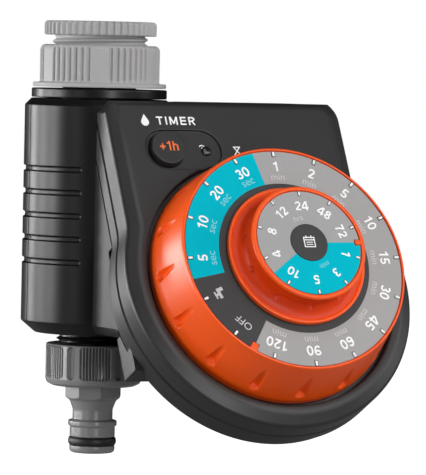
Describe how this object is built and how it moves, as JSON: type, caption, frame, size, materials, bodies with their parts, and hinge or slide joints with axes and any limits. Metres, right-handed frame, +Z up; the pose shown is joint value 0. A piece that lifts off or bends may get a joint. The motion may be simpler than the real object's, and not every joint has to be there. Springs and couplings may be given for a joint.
{
  "type": "drip irrigation timer",
  "caption": "Tap-mounted water timer with a tilted control unit, two coaxial dials, a push button, a tap adapter and a push-fit hose outlet.",
  "frame": {"origin": "centre of the assembly's bounding box in plan, at the level of the hose nipple's lower end", "axes": "+Z up along the water's flow axis towards the tap, -Y towards the user in front of the dials, +X to the user's right"},
  "size_m": [0.1164, 0.1246, 0.1502],
  "materials": {
    "housing": "satin",
    "black_plastic": "satin",
    "orange": "satin",
    "pale_grey": "satin",
    "mid_grey": "satin",
    "label": "satin",
    "rubber": "matte",
    "window": "gloss",
    "steel": "satin",
    "copper": "satin",
    "board": "satin",
    "battery": "gloss"
  },
  "bodies": {
    "valve_housing": {"valve_housing_front": "housing", "valve_housing_rear": "housing", "housing_screw_1": "steel", "housing_screw_2": "steel", "housing_screw_3": "steel", "housing_screw_4": "steel", "valve_body": "black_plastic", "diaphragm": "rubber", "valve_bonnet": "black_plastic", "bonnet_screw_1": "steel", "bonnet_screw_2": "steel", "bonnet_screw_3": "steel", "bonnet_screw_4": "steel", "solenoid_coil": "copper", "plunger_spring": "steel", "valve_contact_plug": "black_plastic", "inlet_filter": "mid_grey", "inlet_washer": "rubber"},
    "plunger": {"solenoid_plunger": "steel"},
    "inlet_nut": {"inlet_nut": "pale_grey"},
    "tap_adapter": {"tap_adapter": "pale_grey", "adapter_washer": "rubber"},
    "hose_connector": {"hose_connector": "mid_grey", "hose_connector_washer": "rubber", "hose_connector_o_ring": "rubber"},
    "control_unit": {"front_cover": "housing", "rear_shell": "black_plastic", "case_seal": "rubber", "case_screw_1": "steel", "case_screw_2": "steel", "case_screw_3": "steel", "case_screw_4": "steel", "circuit_board": "board", "microcontroller": "black_plastic", "capacitor": "steel", "led": "window", "led_window": "window", "button_switch": "black_plastic", "contact_socket": "black_plastic", "battery_9v": "battery", "battery_contacts": "copper", "duration_shaft_seal": "rubber"},
    "duration_dial": {"duration_dial": "orange", "duration_label": "label", "duration_contact_wheel": "black_plastic", "frequency_shaft_seal": "rubber"},
    "frequency_dial": {"frequency_dial": "orange", "frequency_label": "label", "dial_cap": "housing", "frequency_shaft": "steel", "frequency_contact_wheel": "black_plastic", "shaft_clip": "steel"},
    "manual_button": {"manual_button": "housing"},
    "battery_door": {"battery_door": "black_plastic"}
  },
  "joints": [
    {"name": "inlet_nut_turn", "type": "hinge", "parent": "valve_housing", "child": "inlet_nut", "pos_m": [-0.03251, 0.03656, 0.135], "axis": [0, 0, 1], "continuous": true},
    {"name": "adapter_turn", "type": "hinge", "parent": "inlet_nut", "child": "tap_adapter", "pos_m": [-0.03251, 0.03656, 0.145], "axis": [0, 0, 1], "continuous": true},
    {"name": "hose_connector_turn", "type": "hinge", "parent": "valve_housing", "child": "hose_connector", "pos_m": [-0.03251, 0.03656, 0.03], "axis": [0, 0, 1], "continuous": true},
    {"name": "plunger_lift", "type": "slide", "parent": "valve_housing", "child": "plunger", "axis": [0, -1, 0], "range_m": [0, 0.0018]},
    {"name": "control_unit_release", "type": "slide", "parent": "valve_housing", "child": "control_unit", "axis": [0, -0.8829, 0.4695], "range_m": [0, 0.025]},
    {"name": "duration_dial_turn", "type": "hinge", "parent": "control_unit", "child": "duration_dial", "pos_m": [0.00549, -0.02564, 0.0635], "axis": [0, -0.8829, 0.4695], "range_deg": [-135, 202.5]},
    {"name": "frequency_dial_turn", "type": "hinge", "parent": "control_unit", "child": "frequency_dial", "pos_m": [0.00549, -0.02564, 0.0635], "axis": [0, -0.8829, 0.4695], "range_deg": [-252, 72]},
    {"name": "manual_button_press", "type": "slide", "parent": "control_unit", "child": "manual_button", "axis": [0, 0.8829, -0.4695], "range_m": [0, 0.0008], "stiffness_N_per_m": 800},
    {"name": "battery_door_swing", "type": "hinge", "parent": "control_unit", "child": "battery_door", "pos_m": [0.03424, -0.01332, 0.03044], "axis": [-1, 0, 0], "range_deg": [0, 110]}
  ]
}
